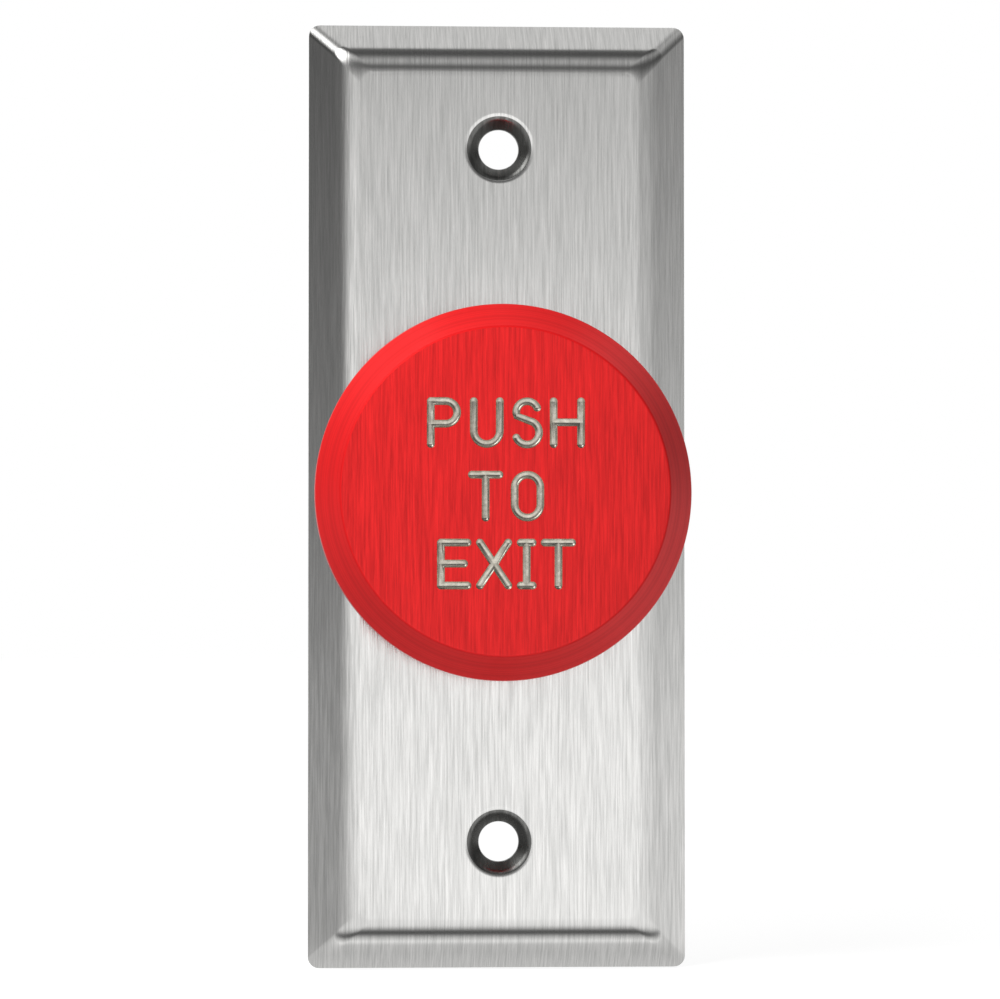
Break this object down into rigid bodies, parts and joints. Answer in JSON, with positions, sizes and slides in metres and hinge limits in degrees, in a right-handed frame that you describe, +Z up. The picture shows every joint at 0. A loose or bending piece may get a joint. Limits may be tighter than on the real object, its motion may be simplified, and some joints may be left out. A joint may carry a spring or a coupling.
{
  "type": "door exit push button",
  "caption": "Narrow formed steel wall plate with a large round red push button, its sprung plunger, and a snap-action switch on a bracket behind.",
  "frame": {"origin": "centre of the wall plate on the wall plane, where the plate's rim rests", "axes": "+X to the right seen from the front, +Y into the wall, +Z up along the plate; the front faces -Y"},
  "size_m": [0.0458, 0.0558, 0.1142],
  "materials": {
    "brushed_stainless": "stainless steel, brushed lengthwise",
    "red_anodised_aluminium": "aluminium anodised red, face brushed, rim and chamfer turned",
    "ground_steel": "ground bright steel",
    "nickel_plated_brass": "nickel plated, semi-bright",
    "black_rubber": "black rubber, matt",
    "zinc_plated_steel": "zinc plated, clear passivated",
    "natural_nylon": "natural nylon, satin",
    "spring_steel": "spring steel, drawn",
    "black_phenolic": "black thermoset moulding, satin",
    "stainless_spring_strip": "stainless spring strip, rolled bright",
    "red_plastic": "red moulded plastic",
    "terminal_brass": "bright brass strip",
    "contact_silver": "silver alloy, polished",
    "blade_copper_alloy": "copper alloy spring strip",
    "plain_aluminium": "plain turned aluminium tube"
  },
  "bodies": {
    "base": {"face_plate": "brushed_stainless", "bushing_gasket": "black_rubber", "threaded_bushing": "nickel_plated_brass", "stop_washer": "black_rubber", "lock_washer": "zinc_plated_steel", "bushing_nut": "nickel_plated_brass", "return_spring": "spring_steel", "switch_bracket": "zinc_plated_steel", "switch_case": "black_phenolic", "switch_cover": "black_phenolic", "lever_hinge_pin": "ground_steel", "common_terminal": "terminal_brass", "normally_open_terminal": "terminal_brass", "normally_closed_terminal": "terminal_brass", "fixed_contacts": "contact_silver", "bracket_screws": "zinc_plated_steel", "switch_spacers": "plain_aluminium", "bracket_spring_washers": "spring_steel", "bracket_nuts": "zinc_plated_steel"},
    "button": {"button_cap": "red_anodised_aluminium", "plunger_stem": "ground_steel", "thrust_washer": "natural_nylon", "retaining_ring": "spring_steel"},
    "lever": {"switch_lever": "stainless_spring_strip"},
    "pin": {"switch_pin": "red_plastic"},
    "blade": {"contact_blade": "blade_copper_alloy", "moving_contact": "contact_silver"}
  },
  "joints": [
    {"name": "button_push", "type": "slide", "parent": "base", "child": "button", "axis": [0, 1, 0], "range_m": [0, 0.003], "stiffness_N_per_m": 800, "springref_m": -0.0045, "deforming": ["return_spring"]},
    {"name": "lever_swing", "type": "hinge", "parent": "base", "child": "lever", "pos_m": [0, 0.01055, 0.022], "axis": [1, 0, 0], "range_deg": [0, 7.9]},
    {"name": "pin_slide", "type": "slide", "parent": "base", "child": "pin", "axis": [0, 1, 0], "range_m": [0, 0.00165]},
    {"name": "blade_flex", "type": "hinge", "parent": "base", "child": "blade", "pos_m": [0, 0.02012, 0.018], "axis": [1, 0, 0], "range_deg": [0, 3.3]}
  ],
  "couplings": [
    {"joint": "lever_swing", "follows": "button_push", "rad_per_m": 45.455},
    {"joint": "pin_slide", "follows": "button_push", "ratio": 0.54545},
    {"joint": "blade_flex", "follows": "button_push", "rad_per_m": 19.048}
  ]
}
